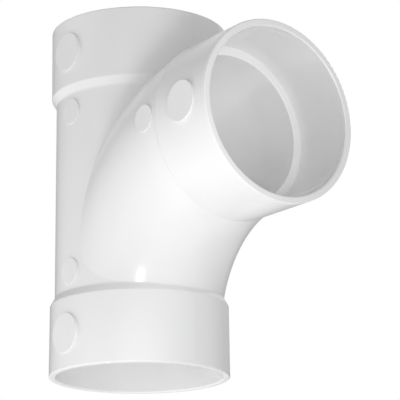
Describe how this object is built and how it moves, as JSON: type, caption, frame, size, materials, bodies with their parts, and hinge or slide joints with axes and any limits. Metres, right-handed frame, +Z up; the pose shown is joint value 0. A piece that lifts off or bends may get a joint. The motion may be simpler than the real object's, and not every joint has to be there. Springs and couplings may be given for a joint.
{
  "type": "sanitary tee",
  "caption": "White moulded drainage tee: a straight run with a hub at each end and a side branch that sweeps down into it, for solvent-welded pipe.",
  "frame": {"origin": "centre of the lower hub's mouth, on the run's axis, in the plane of its rim", "axes": "+Z up along the run's axis, towards the upper hub; +X towards the branch, whose axis climbs 1.19 degrees outwards; the flat pads face -Y"},
  "size_m": [0.2162, 0.1248, 0.2475],
  "materials": {
    "pvc": "smooth moulded rigid PVC, glossy, white"
  },
  "bodies": {
    "root": {"sanitary_tee": "pvc"}
  },
  "joints": []
}
